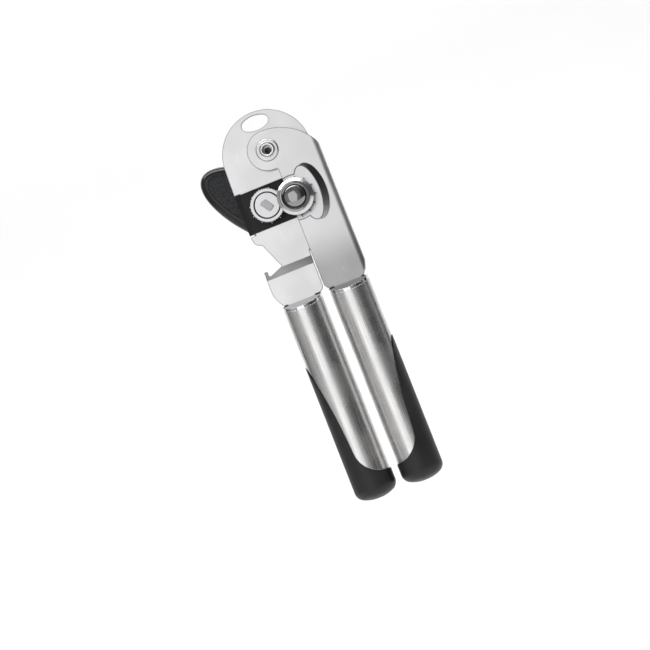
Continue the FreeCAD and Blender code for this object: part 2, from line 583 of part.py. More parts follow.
def cutter_pieces():
    bore = size.stud_radius + size.turning_clearance
    spigot = size.hub_spigot_radius
    turned_part("cutter_hub", CUTTER, [
        (bore, GEAR_BACK), (bore, CUTTER_FACE), (spigot, CUTTER_FACE), (spigot, CUTTER_BACK),
        (size.hub_radius, CUTTER_BACK), (size.hub_radius, GEAR_FACE), (spigot, GEAR_FACE),
        (spigot, GEAR_BACK)])
    turned_part("cutting_wheel", CUTTER, [
        (spigot, CUTTER_BACK), (spigot, CUTTER_FACE), (size.cutter_flat_radius, CUTTER_FACE),
        (size.cutter_radius, CUTTER_BACK + 0.12), (size.cutter_radius, CUTTER_BACK)])
    cap = size.cap_radius
    crown = CAP_BACK + size.cap_height
    turned_part("cutter_stud", CUTTER, [
        (0, FRONT_PLATE_BACK), (size.stud_neck_radius, FRONT_PLATE_BACK),
        (size.stud_neck_radius, FRONT_PLATE_FACE), (size.stud_radius, FRONT_PLATE_FACE),
        (size.stud_radius, CAP_BACK), (cap, CAP_BACK),
        (cap, CAP_BACK + 0.3), (cap - 0.1, CAP_BACK + 0.6, cap - 0.5, CAP_BACK + 0.8),
        (cap - 1.0, CAP_BACK + 0.9), (cap - 1.9, CAP_BACK + 0.45),
        (cap - 2.3, CAP_BACK + 0.55), (cap - 2.5, CAP_BACK + 1.0),
        (cap * 0.4, crown - 0.3, cap * 0.1, crown), (0, crown)])
    turned_part("cutter_spring_washer", CUTTER, [
        (size.stud_radius + size.turning_clearance, FRONT_PLATE_FACE),
        (size.stud_radius + size.turning_clearance, FRONT_PLATE_FACE + size.spring_thickness),
        (size.spring_radius, FRONT_PLATE_FACE + size.spring_thickness),
        (size.spring_radius, FRONT_PLATE_FACE)])


def gable(body, ridge, slope, radius):
    """Cuts a round end to two slopes that fall away from the plate, front and back."""
    sketch = new_sketch(body, "YZ_Plane", 0.0)
    far = radius + 2
    fall = slope * far / radius
    draw(sketch, (0, ridge), (far, ridge - fall), (far, ridge + 6), (-far, ridge + 6),
         (-far, ridge - fall))
    cut(body, sketch)


def steel_edge(side, gap):
    """Edge between sleeve and grip, seen from the front; side is -1 left, 1 right."""
    end = SLEEVE_END
    low = size.sleeve_radius
    knee = end + 13.5
    top = GRIP_TOP
    return [(side * (low + 1.2 + gap), top + 2.0), (side * (low - 4.2 + gap), (top + knee) / 2,
                                                    side * (low - 6.6 + gap), knee),
            (side * (low - 9.0 + gap), end + 6.2 - gap, -side * (low - 2.6), end + 0.7 - gap),
            (-side * (low + 3), end - gap)]


def handle(name, axis, side):
    place = V(axis, -HANDLE_LEVEL, 0)
    slope = size.ferrule_slope
    outer = size.sleeve_radius
    inner = outer - size.sleeve_wall
    core_radius = inner - size.seat_clearance
    tang_half = size.tang_width / 2 + size.tang_clearance
    thick_half = size.plate_thickness / 2 + size.tang_clearance
    sleeve_top = ARM_END - size.ferrule_height
    far = outer + 4

    sleeve = new_body(name + "_sleeve", place)
    tube = new_sketch(sleeve, "XY_Plane", SLEEVE_END - 1)
    circle(tube, "dims.sleeve_radius")
    circle(tube, "dims.sleeve_radius - dims.sleeve_wall")
    pad(sleeve, tube, "%r" % (sleeve_top + 1 - SLEEVE_END))
    gable(sleeve, sleeve_top, slope, outer)
    grip_side = new_sketch(sleeve, "XZ_Plane", 0.0)
    edge = steel_edge(side, 0.0)
    draw(grip_side, edge[0], *edge[1:], (-side * (outer + 3), SLEEVE_END - 8),
         (side * far, SLEEVE_END - 8), (side * far, edge[0][1]))
    cut(sleeve, grip_side)

    ferrule = new_body(name + "_ferrule", place)
    rim = new_sketch(ferrule, "XY_Plane", sleeve_top - slope - 2)
    circle(rim, "dims.sleeve_radius")
    pad(ferrule, rim, "%r" % (slope + 2 + size.ferrule_height))
    under = new_sketch(ferrule, "YZ_Plane", 0.0)
    reach = outer + 2
    low = sleeve_top - slope * reach / outer
    draw(under, (0, sleeve_top), (reach, low), (reach, low - 8), (-reach, low - 8), (-reach, low))
    cut(ferrule, under)
    plug = new_sketch(ferrule, "XY_Plane", sleeve_top - slope - size.spigot_length)
    circle(plug, "dims.sleeve_radius - dims.sleeve_wall - dims.seat_clearance")
    pad(ferrule, plug, "%r" % (size.spigot_length + slope + 0.8))
    gable(ferrule, ARM_END, slope, outer)
    tang_slot = new_sketch(ferrule, "XY_Plane", 0.0)
    draw(tang_slot, (-tang_half, -thick_half), (tang_half, -thick_half),
         (tang_half, thick_half), (-tang_half, thick_half))
    cut(ferrule, tang_slot)

    core_top = sleeve_top - slope - size.spigot_length - size.seat_clearance
    core = new_body(name + "_core", place)
    rod = new_sketch(core, "XY_Plane", CORE_END)
    circle(rod, "dims.sleeve_radius - dims.sleeve_wall - dims.seat_clearance")
    pad(core, rod, "%r" % (core_top - CORE_END))
    tang_socket = new_sketch(core, "XY_Plane", core_top)
    draw(tang_socket, (-tang_half, -thick_half), (tang_half, -thick_half),
         (tang_half, thick_half), (-tang_half, thick_half))
    cut(core, tang_socket, "%r" % (core_top - TANG_END + 0.3))
    pin_hole = new_sketch(core, "XZ_Plane", 0.0)
    circle(pin_hole, "dims.pin_radius", 0, PIN_AT)
    cut(core, pin_hole)

    pin = new_body(name + "_pin", place)
    shank = new_sketch(pin, "XZ_Plane", -core_radius * 0.93)
    circle(shank, "dims.pin_radius", 0, PIN_AT)
    pad(pin, shank, "%r" % (2 * core_radius * 0.93))

    grip = new_body(name + "_grip", place)
    body_radius = size.grip_radius
    end = HANDLE_END
    profile = new_sketch(grip, "XZ_Plane", 0.0)
    draw(profile, (0, end), (3.6, end + 0.25, 7.0, end + 1.3),
         (9.5, end + 3.2, body_radius, end + 6.6), (body_radius, GRIP_TOP + 4),
         (inner, GRIP_TOP + 4),
         (inner, CORE_END - size.seat_clearance),
         (0, CORE_END - size.seat_clearance))
    revolve(grip, profile)
    steel_side = new_sketch(grip, "XZ_Plane", 0.0)
    edge = steel_edge(side, size.seat_clearance)
    draw(steel_side, edge[0], *edge[1:], (-side * far, edge[-1][1]),
         (-side * far, edge[0][1] + 8), (side * far, edge[0][1] + 8), (side * far, edge[0][1]))
    cut(grip, steel_side)


rear_arm_plate()
front_arm_plate()
pivot_pieces()
drive_bushing()
drive_shaft()
gear("drive_gear", DRIVE, size.drive_teeth, DRIVE_PITCH, GEAR_LINE + size.gear_turn_deg, "flats")
feed_wheel()
thrust_washer()
knob_pieces()
cutter_turn = 180 / size.cutter_teeth - size.gear_turn_deg * size.drive_teeth / size.cutter_teeth
gear("cutter_gear", CUTTER, size.cutter_teeth, CUTTER_PITCH, GEAR_LINE + 180 + cutter_turn, "round")
cutter_pieces()
handle("rear_handle", -size.rear_handle_left, -1)
handle("front_handle", size.front_handle_right, 1)

doc.recompute()
for item in doc.Objects:
    if "Invalid" in item.State or "Error" in item.State:
        raise RuntimeError("%s failed: %s" % (item.Label, item.State))
os.makedirs("parts", exist_ok=True)
for item in doc.Objects:
    if item.TypeId != "PartDesign::Body":
        continue
    if item.Shape.isNull() or not item.Shape.isValid() or len(item.Shape.Solids) != 1:
        raise RuntimeError("%s: %d solids, valid %s"
                           % (item.Label, len(item.Shape.Solids), item.Shape.isValid()))
    item.Shape.exportStep("parts/%s.step" % item.Label)
    print("%-24s %9.1f mm3" % (item.Label, item.Shape.Volume))
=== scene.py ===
import math

import bpy
from bpy.props import FloatProperty, FloatVectorProperty, PointerProperty
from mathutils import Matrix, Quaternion, Vector


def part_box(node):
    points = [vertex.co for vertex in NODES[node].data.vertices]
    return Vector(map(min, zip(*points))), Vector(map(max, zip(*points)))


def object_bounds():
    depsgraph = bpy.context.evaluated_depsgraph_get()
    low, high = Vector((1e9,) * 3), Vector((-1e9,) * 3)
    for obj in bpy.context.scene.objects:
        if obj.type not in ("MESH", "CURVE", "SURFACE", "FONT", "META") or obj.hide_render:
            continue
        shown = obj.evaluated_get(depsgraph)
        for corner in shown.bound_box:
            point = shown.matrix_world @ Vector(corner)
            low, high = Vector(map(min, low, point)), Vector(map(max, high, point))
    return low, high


bl_info = {
    "name": "Can Opener Finish",
    "version": (1, 0, 0),
    "blender": (4, 5, 0),
    "location": "3D Viewport > Sidebar > Can Opener",
    "description": "Gives a hand-held can opener its steel, rubber and moulded finishes",
    "category": "Material",
}

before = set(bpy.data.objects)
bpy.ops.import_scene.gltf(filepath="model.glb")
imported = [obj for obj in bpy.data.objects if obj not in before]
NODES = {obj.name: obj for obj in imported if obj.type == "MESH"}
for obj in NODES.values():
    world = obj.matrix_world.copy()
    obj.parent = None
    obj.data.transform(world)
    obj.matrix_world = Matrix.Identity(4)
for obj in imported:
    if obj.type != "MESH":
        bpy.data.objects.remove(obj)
CAD_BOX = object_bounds()

# Heights on the arms, in metres: where painted shade darkens the lower front plate, and the pressed
# guard with its painted shade.
LOWER_PAINTED_SHADE_FROM, LOWER_PAINTED_SHADE_TO = -0.044, -0.066
GUARD_TOP, GUARD_PAINTED_SHADE_FROM, GUARD_PAINTED_SHADE_TO = -0.010, -0.016, -0.042
FLANGE_WIDTH = 0.0040
# How far a pressed slope leans from the sheet, as the size of its normal along Y.
GUARD_LEAN, GUARD_LEAN_RANGE = 0.88, 0.07
# Rings of painted shade in grooves, in the rivet's bore and on the cutter cap, as (radius, half
# width) in metres.
RIVET_PAINTED_SHADE = ((0.0, 0.0021), (0.0033, 0.00022))
FEED_PAINTED_SHADE = ((0.00625, 0.00035), (0.0081, 0.0001))
CAP_PAINTED_SHADE = ((0.0054, 0.00035), (0.0064, 0.00012))
# Brightness round the room, as (share of a turn from straight behind, level).
ROOM_BANDS = ((0.0, 0.25), (0.13, 0.10), (0.22, 0.20), (0.29, 0.42), (0.36, 0.50), (0.41, 0.40),
              (0.46, 0.32), (0.52, 0.38), (0.565, 0.26), (0.61, 0.06), (0.69, 0.09), (0.73, 0.12),
              (0.76, 0.44), (0.79, 0.06), (0.83, 0.02), (0.92, 0.05), (1.0, 0.25))
ROOM_CEILING = (0.30, 0.30, 0.30, 1.0)
CEILING_FROM, CEILING_TO = 0.25, 0.85
KEY_PLACE, KEY_SIZE = (-0.42, -1.30, 0.02), (1.0, 1.5)
TOP_PLACE, TOP_SIZE = (0.25, -0.15, 1.15), (1.0, 0.7)
BACKDROP_LIGHT_PLACE, BACKDROP_LIGHT_SIZE = (0.0, -0.2, 1.5), (2.6, 0.5)
BACKDROP_AIM = (0.0, 0.75, 0.0)
BACKDROP_HEIGHT = 2.6
SWEEP_STEPS = 16


def centre_of(node_name):
    low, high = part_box(node_name)
    return (low + high) / 2


def colour(name, description, default):
    return FloatVectorProperty(name=name, description=description, subtype="COLOR", size=3,
                               min=0.0, max=1.0, default=default)


def length(name, description, default):
    return FloatProperty(name=name, description=description, unit="LENGTH", subtype="DISTANCE",
                         min=0.0, default=default, precision=5)


def angle(name, description, degrees):
    return FloatProperty(name=name, description=description, unit="ROTATION", subtype="ANGLE",
                         default=math.radians(degrees))


class OpenerFinish(bpy.types.PropertyGroup):
    """Colours and fine sizes of the finishes."""
    arm_colour: colour("Arms", "Satin stainless sheet of the two arms", (0.72, 0.72, 0.73))
    # Raw edge colour of the sheet, and also the colour that the painted shade on the sheet mixes
    # towards.
    sheared_and_shade_colour: colour("Sheared edge", "Raw edge of the stamped sheet", (0.20, 0.20, 0.205))
    sleeve_colour: colour("Sleeves", "Brushed steel of the handles", (0.84, 0.83, 0.825))
    polished_colour: colour("Polished", "Polished ends and the cutter cap", (0.80, 0.80, 0.81))
    wheel_colour: colour("Wheels", "Plated feed wheel and cutting wheel", (0.74, 0.74, 0.75))
    gear_colour: colour("Gears", "Stamped gears", (0.42, 0.42, 0.43))
    # Dark colour of the cutter gear, also used as the painted shade on the guard's pressed slopes.
    dark_gear_and_painted_shade_colour: colour("Blackened", "Cutter gear and the guard's drawn slope",
                             (0.028, 0.028, 0.030))
    turned_colour: colour("Turned parts", "Rivet, shaft, hub and washers", (0.60, 0.60, 0.61))
    rubber_colour: colour("Grip", "Soft elastomer of the grips", (0.0095, 0.0098, 0.0105))
    knob_colour: colour("Knob", "Smooth moulding of the knob's rim", (0.010, 0.010, 0.011))
    panel_colour: colour("Knob panel", "Grained panel of the knob", (0.030, 0.031, 0.034))
    bay_colour: colour("Bushing", "Moulded bushing in the bay", (0.011, 0.011, 0.012))
    nylon_colour: colour("Nylon", "Natural nylon washer", (0.78, 0.77, 0.72))
    core_colour: colour("Core", "Filled nylon inside the handles", (0.09, 0.09, 0.095))
    # Colour of the rings of painted shade in grooves and the rivet's bore.
    painted_shade_colour: colour("Grime", "Dirt that settles in rings", (0.03, 0.03, 0.032))
    edge_rounding: length("Edge rounding", "Soft radius that catches light on edges", 0.00022)
    # Width of the painted shadow line along the sheet's edges.
    painted_edge_shadow: length("Edge line", "Width of the dull line along sheared edges", 0.00085)
    brush_depth: length("Brush depth", "Depth of the brushing lines", 0.000012)
    grain_depth: length("Grain depth", "Depth of the moulded grain", 0.00006)
    wear: FloatProperty(name="Wear", description="Bright wear along worked edges",
                        subtype="FACTOR", min=0.0, max=1.0, default=0.45)


class OpenerStage(bpy.types.PropertyGroup):
    """Floor, backdrop, lights and the camera's place."""
    floor_drop: length("Floor drop", "From the handle ends down to the floor", 0.14)
    backdrop_gap: length("Backdrop gap", "From the opener back to the backdrop", 0.75)
    sweep_radius: length("Sweep radius", "Curve between the floor and the backdrop", 0.45)
    floor_front: length("Floor front", "From the opener to the floor's front edge", 0.70)
    half_width: length("Half width", "Half the width of floor and backdrop", 1.1)
    stage_colour: colour("Stage", "Floor and backdrop", (0.90, 0.90, 0.90))
    view_azimuth: angle("Azimuth", "Camera's angle round the opener, from the front", 4.0)
    view_elevation: angle("Elevation", "Camera's angle above the opener", -3.0)
    view_roll: angle("Roll", "Lean of the camera", -21.5)
    view_across: length("View width", "Width of what the camera sees", 0.311)
    target: FloatVectorProperty(name="Target", description="Point the camera looks at",
                                unit="LENGTH", subtype="XYZ", size=3,
                                default=(-0.0050, -0.0020, -0.0886), precision=4)
    lens: FloatProperty(name="Lens", description="Focal length in millimetres", min=20.0,
                        default=110.0)
    key_power: FloatProperty(name="Key light", description="Power of the key light, in watts",
                             unit="POWER", min=0.0, default=4.6)
    top_power: FloatProperty(name="Top light", description="Power of the top light, in watts",
                             unit="POWER", min=0.0, default=0.6)
    backdrop_power: FloatProperty(name="Backdrop light", unit="POWER", min=0.0, default=31.0,
                                  description="Power of the light on the backdrop, in watts")
    room_level: FloatProperty(name="Room level", description="Brightness of the soft room",
                              min=0.0, default=1.0)


class Shading:
    """One procedural material: thin helpers round its node tree."""

    def __init__(self, name):
        self.material = bpy.data.materials.new(name)
        self.material.use_nodes = True
        self.tree = self.material.node_tree
        self.shader = self.tree.nodes["Principled BSDF"]
        self.place = self.add("ShaderNodeTexCoord").outputs["Object"]

    def add(self, kind, **sockets):
        made = self.tree.nodes.new(kind)
        for key, value in sockets.items():
            self.feed(made.inputs[key], value)
        return made

    def feed(self, socket, value):
        if isinstance(value, bpy.types.NodeSocket):
            self.tree.links.new(value, socket)
        else:
            socket.default_value = value

    def set(self, **sockets):
        for key, value in sockets.items():
            self.feed(self.shader.inputs[key.replace("_", " ")], value)

    def math(self, operation, first, second=0.0, third=0.0):
        made = self.tree.nodes.new("ShaderNodeMath")
        made.operation = operation
        for socket, value in zip(made.inputs, (first, second, third)):
            self.feed(socket, value)
        return made.outputs[0]

    def shifted(self, centre, scale=(1.0, 1.0, 1.0)):
        """The piece's coordinates from a centre, stretched."""
        moved = self.tree.nodes.new("ShaderNodeVectorMath")
        moved.operation = "SUBTRACT"
        self.feed(moved.inputs[0], self.place)
        moved.inputs[1].default_value = centre
        sized = self.tree.nodes.new("ShaderNodeVectorMath")
        sized.operation = "MULTIPLY"
        self.feed(sized.inputs[0], moved.outputs[0])
        sized.inputs[1].default_value = scale
        return sized.outputs[0]

    def noise(self, vector, scale=1.0, detail=3.0, roughness=0.5):
        made = self.add("ShaderNodeTexNoise", Vector=vector, Scale=scale, Detail=detail,
                        Roughness=roughness)
        return made.outputs["Fac"]

    def cells(self, vector, scale, smooth=0.4):
        made = self.tree.nodes.new("ShaderNodeTexVoronoi")
        made.feature = "SMOOTH_F1"
        self.feed(made.inputs["Vector"], vector)
        made.inputs["Scale"].default_value = scale
        made.inputs["Smoothness"].default_value = smooth
        return made.outputs["Distance"]

    def spread(self, value, low, high, out_low, out_high, smooth=False):
        made = self.tree.nodes.new("ShaderNodeMapRange")
        made.interpolation_type = "SMOOTHSTEP" if smooth else "LINEAR"
        for socket, number in zip(made.inputs, (value, low, high, out_low, out_high)):
            self.feed(socket, number)
        return made.outputs[0]

    def mix(self, share, first, second):
        made = self.tree.nodes.new("ShaderNodeMix")
        made.data_type = "RGBA"
        self.feed(made.inputs["Factor"], share)
        for socket, value in ((made.inputs[6], first), (made.inputs[7], second)):
            rgba = value if isinstance(value, bpy.types.NodeSocket) else (*value, 1.0)
            self.feed(socket, rgba)
        return made.outputs[2]

    def facing(self, flange_start):
        """1 on the broad faces of a sheet and of its side flange, 0 on a sheared edge."""
        normal = self.tree.nodes.new("ShaderNodeNewGeometry").outputs["True Normal"]
        parts = self.add("ShaderNodeSeparateXYZ", Vector=normal)
        broad = self.spread(self.math("ABSOLUTE", parts.outputs["Y"]), 0.55, 0.75, 0.0, 1.0)
        aside = self.add("ShaderNodeSeparateXYZ", Vector=self.place).outputs["X"]
        flange = self.math("GREATER_THAN", aside, flange_start)
        upright = self.math("LESS_THAN", self.math("ABSOLUTE", parts.outputs["Z"]), 0.30)
        backward = self.math("LESS_THAN", parts.outputs["Y"], 0.80)
        side = self.math("MULTIPLY", self.math("MULTIPLY", flange, upright), backward)
        return self.math("MAXIMUM", broad, side)

    def drawn(self, flange_start):
        """1 on the slopes of the pressed guard, clear of the side flange, where painted shade goes.
        """
        normal = self.tree.nodes.new("ShaderNodeNewGeometry").outputs["True Normal"]
        tilt = self.math("ABSOLUTE", self.add("ShaderNodeSeparateXYZ", Vector=normal).outputs["Y"])
        slope = self.math("COMPARE", tilt, GUARD_LEAN, GUARD_LEAN_RANGE)
        place = self.add("ShaderNodeSeparateXYZ", Vector=self.place)
        inward = self.math("LESS_THAN", place.outputs["X"], flange_start)
        below = self.math("LESS_THAN", place.outputs["Z"], GUARD_TOP)
        return self.math("MULTIPLY", slope, self.math("MULTIPLY", inward, below))

    def soft_edges(self, radius):
        """A rounded normal and a mask of the edges that it rounds."""
        bevel = self.tree.nodes.new("ShaderNodeBevel")
        bevel.samples = 8
        bevel.inputs["Radius"].default_value = radius
        flat = self.tree.nodes.new("ShaderNodeNewGeometry").outputs["Normal"]
        same = self.tree.nodes.new("ShaderNodeVectorMath")
        same.operation = "DOT_PRODUCT"
        self.feed(same.inputs[0], bevel.outputs[0])
        self.feed(same.inputs[1], flat)
        mask = self.spread(same.outputs["Value"], 0.995, 0.86, 0.0, 1.0)
        return bevel.outputs[0], mask

    def bump(self, height, distance, strength=1.0, normal=None):
        made = self.add("ShaderNodeBump", Height=height, Distance=distance, Strength=strength)
        if normal is not None:
            self.feed(made.inputs["Normal"], normal)
        return made.outputs[0]

    def from_axis(self, centre):
        """Distance from an axis along Y, and the place along it."""
        parts = self.add("ShaderNodeSeparateXYZ", Vector=self.shifted(centre))
        square = self.math("MULTIPLY", parts.outputs["X"], parts.outputs["X"])
        total = self.math("MULTIPLY_ADD", parts.outputs["Z"], parts.outputs["Z"], square)
        return self.math("SQRT", total), parts.outputs["Y"]

    def rings(self, centre, fineness):
        """Coordinates that only change outwards and along the axis, for turned faces."""
        radius, along = self.from_axis(centre)
        joined = self.add("ShaderNodeCombineXYZ", X=self.math("MULTIPLY", radius, fineness),
                          Y=self.math("MULTIPLY", along, fineness))
        return joined.outputs[0]

    def band(self, centre, radius, half_width):
        """1 on a ring round the axis, where painted shade is put."""
        out, _ = self.from_axis(centre)
        off = self.math("ABSOLUTE", self.math("SUBTRACT", out, radius))
        return self.spread(off, half_width * 0.6, half_width * 1.3, 1.0, 0.0, smooth=True)


def give(material, *node_names):
    """Puts a material in every slot of the named pieces."""
    for name in node_names:
        mesh = NODES[name].data
        if not mesh.materials:
            mesh.materials.append(material)
        for index in range(len(mesh.materials)):
            mesh.materials[index] = material


def smudged(shade, centre, low, high):
    """Slow changes of gloss, as handling leaves them."""
    cloud = shade.noise(shade.shifted(centre, (60.0, 60.0, 60.0)), detail=4.0)
    return shade.spread(cloud, 0.35, 0.65, low, high, smooth=True)


def sheet_steel(finish, node_name, painted_lower_share, flange_start):
    """Satin stainless sheet with a fine rolled grain and raw sheared edges, with painted shade:
    darker towards the lower end where asked, a dark line along the edges and near-black pressed
    guard slopes.
    """
    shade = Shading(node_name + "_steel")
    centre = centre_of(node_name)
    normal, _ = shade.soft_edges(finish.edge_rounding)
    _, edges = shade.soft_edges(finish.painted_edge_shadow)
    grain = shade.noise(shade.shifted(centre, (9000.0, 900.0, 260.0)), detail=4.0, roughness=0.65)
    speck = shade.noise(shade.shifted(centre, (5200.0, 5200.0, 5200.0)), detail=2.0)
    sheared = shade.noise(shade.shifted(centre, (500.0, 7000.0, 500.0)), detail=3.0)
    face = shade.facing(flange_start)
    tone = shade.spread(smudged(shade, centre, 0.0, 1.0), 0.0, 1.0, 0.0, 0.10)
    level = shade.add("ShaderNodeSeparateXYZ", Vector=shade.place).outputs["Z"]
    # Painted shade: the sheet turns darker towards its lower end, by up to the given share,
    # streaked by the grain.
    painted_lower_shade = shade.spread(level, LOWER_PAINTED_SHADE_FROM, LOWER_PAINTED_SHADE_TO, 0.0, painted_lower_share, smooth=True)
    streaks = shade.math("MULTIPLY", shade.math("MULTIPLY", grain, 0.7), painted_lower_shade)
    painted_lower_shade_streaked = shade.math("ADD", painted_lower_shade, streaks)
    plain = shade.mix(painted_lower_shade_streaked, shade.mix(tone, finish.arm_colour, finish.sleeve_colour),
                      finish.sheared_and_shade_colour)
    raw = shade.mix(shade.spread(sheared, 0.3, 0.7, 0.0, 0.6), finish.sheared_and_shade_colour,
                    finish.arm_colour)
    body = shade.mix(face, raw, plain)
    # Painted shade: the guard's pressed slopes turn nearly black, darkest at the top and lighter
    # towards the bottom.
    drawn = shade.math("MULTIPLY", shade.drawn(flange_start),
                       shade.spread(level, GUARD_PAINTED_SHADE_FROM, GUARD_PAINTED_SHADE_TO, 0.96, 0.50))
    body = shade.mix(drawn, body, finish.dark_gear_and_painted_shade_colour)
    # Painted shadow: a dark line along every edge of the sheet, at half the sheared colour.
    painted_edge_line = shade.math("MULTIPLY", edges, 0.95)
    line = [0.5 * value for value in finish.sheared_and_shade_colour]
    shade.set(Base_Color=shade.mix(painted_edge_line, body, line), Metallic=1.0)
    gloss = shade.spread(grain, 0.3, 0.7, 0.28, 0.38)
    shade.set(Roughness=shade.math("ADD", gloss, smudged(shade, centre, -0.03, 0.05)))
    height = shade.math("MULTIPLY_ADD", speck, 0.5, grain)
    shade.set(Normal=shade.bump(height, finish.brush_depth, 0.5, normal))
    return shade.material


def brushed_sleeve(finish, node_name):
    """Steel tube brushed along its length, with a few deeper lines."""
    shade = Shading(node_name + "_brushed")
    centre = centre_of(node_name)
    normal, edges = shade.soft_edges(finish.edge_rounding)
    fine = shade.noise(shade.shifted(centre, (6500.0, 6500.0, 26.0)), detail=3.0, roughness=0.7)
    broad = shade.noise(shade.shifted(centre, (1500.0, 1500.0, 9.0)), detail=3.0, roughness=0.6)
    lines = shade.math("MULTIPLY_ADD", broad, 0.4, fine)
    tone = shade.spread(lines, 0.5, 0.95, 0.0, 1.0)
    dark = [0.72 * value for value in finish.sleeve_colour]
    brushed = shade.mix(tone, dark, finish.sleeve_colour)
    worn = shade.math("MULTIPLY", edges, finish.wear)
    shade.set(Base_Color=shade.mix(worn, brushed, finish.polished_colour), Metallic=1.0,
              Anisotropic=0.45)
    gloss = shade.spread(fine, 0.3, 0.7, 0.20, 0.32)
    shade.set(Roughness=shade.math("ADD", gloss, smudged(shade, centre, -0.03, 0.06)))
    shade.set(Normal=shade.bump(lines, finish.brush_depth, 0.8, normal))
    return shade.material


def turned_metal(finish, name, colour_value, centre, low, high, depth=1.0, painted_shade_rings=(), bare=1.0):
    """Metal with fine rings round an axis; the ring list gives (radius, half width) of dark rings
    of painted shade.
    """
    shade = Shading(name)
    normal, edges = shade.soft_edges(finish.edge_rounding)
    ring = shade.noise(shade.rings(centre, 4200.0), detail=3.0, roughness=0.6)
    speck = shade.noise(shade.shifted(centre, (3800.0, 3800.0, 3800.0)), detail=2.0)
    tone = shade.spread(ring, 0.3, 0.7, 0.0, 0.35)
    dark = [0.6 * value for value in colour_value]
    worn = shade.math("MULTIPLY", edges, finish.wear * bare)
    body = shade.mix(worn, shade.mix(tone, colour_value, dark), finish.polished_colour)
    # Painted shade: dark rings where grooves and bores would lie in shade.
    for radius, half_width in painted_shade_rings:
        body = shade.mix(shade.band(centre, radius, half_width), body, finish.painted_shade_colour)
    shade.set(Base_Color=body, Metallic=1.0)
    gloss = shade.spread(speck, 0.3, 0.7, low, high)
    shade.set(Roughness=shade.math("ADD", gloss, smudged(shade, centre, -0.02, 0.03)))
    shade.set(Normal=shade.bump(ring, finish.brush_depth * depth, 0.7, normal))
    return shade.material


def polished_metal(finish, name, centre, painted_shade_factor=1.0, painted_shade_rings=()):
    """Near-mirror steel with hairline scratches; a tone factor below 1 darkens it all as painted
    shade, and the ring list gives dark rings of painted shade round the axis.
    """
    shade = Shading(name)
    normal, edges = shade.soft_edges(finish.edge_rounding)
    turn = shade.noise(shade.shifted(centre, (300.0, 300.0, 300.0)), detail=2.0)
    scratch = shade.noise(shade.shifted(centre, (420.0, 5000.0, 5000.0)), detail=4.0)
    hair = shade.spread(scratch, 0.60, 0.72, 0.0, 1.0)
    clear = [painted_shade_factor * value for value in finish.polished_colour]
    tint = [0.86 * value for value in clear]
    body = shade.mix(turn, clear, tint)
    # Painted shade: dark rings round the axis.
    for radius, half_width in painted_shade_rings:
        body = shade.mix(shade.band(centre, radius, half_width), body, finish.painted_shade_colour)
    shade.set(Base_Color=body, Metallic=1.0)
    gloss = shade.math("MULTIPLY_ADD", hair, 0.10, smudged(shade, centre, 0.03, 0.08))
    shade.set(Roughness=shade.math("MULTIPLY_ADD", edges, 0.08, gloss))
    shade.set(Normal=shade.bump(hair, finish.brush_depth * 0.5, 0.12, normal))
    return shade.material


def soft_rubber(finish, name, colour_value, centre):
    """Matt elastomer with a fine moulded grain and faint rubbed patches."""
    shade = Shading(name)
    normal, edges = shade.soft_edges(finish.edge_rounding * 1.6)
    grain = shade.cells(shade.shifted(centre), 2600.0)
    fine = shade.noise(shade.shifted(centre, (5200.0, 5200.0, 5200.0)), detail=3.0)
    lint = [min(1.0, 1.6 * value + 0.002) for value in colour_value]
    rubbed = smudged(shade, centre, 0.0, 0.45)
    worn = shade.math("MULTIPLY_ADD", edges, 0.35, rubbed)
    shade.set(Base_Color=shade.mix(worn, colour_value, lint), Metallic=0.0, IOR=1.50,
              Specular_IOR_Level=0.45)
    shade.set(Roughness=shade.math("MULTIPLY_ADD", fine, 0.16, smudged(shade, centre, 0.36, 0.46)))
    height = shade.math("MULTIPLY_ADD", fine, 0.4, grain)
    shade.set(Normal=shade.bump(height, finish.grain_depth * 0.5, 0.35, normal))
    return shade.material


def moulded_plastic(finish, name, colour_value, centre, gloss_low, gloss_high, waviness=0.3,
                    mirror=0.5):
    """Smooth black moulding with a slight ripple and handling marks."""
    shade = Shading(name)
    normal, edges = shade.soft_edges(finish.edge_rounding * 1.5)
    ripple = shade.noise(shade.shifted(centre, (180.0, 180.0, 180.0)), detail=2.0)
    speck = shade.noise(shade.shifted(centre, (4200.0, 4200.0, 4200.0)), detail=2.0)
    lifted = [min(1.0, 2.0 * value + 0.006) for value in colour_value]
    pale = shade.math("MULTIPLY_ADD", edges, 0.4, shade.math("MULTIPLY", speck, 0.25))
    shade.set(Base_Color=shade.mix(pale, colour_value, lifted), Metallic=0.0, IOR=1.52,
              Specular_IOR_Level=mirror)
    shade.set(Roughness=smudged(shade, centre, gloss_low, gloss_high))
    height = shade.math("MULTIPLY_ADD", speck, 0.08, ripple)
    shade.set(Normal=shade.bump(height, finish.grain_depth, waviness, normal))
    return shade.material


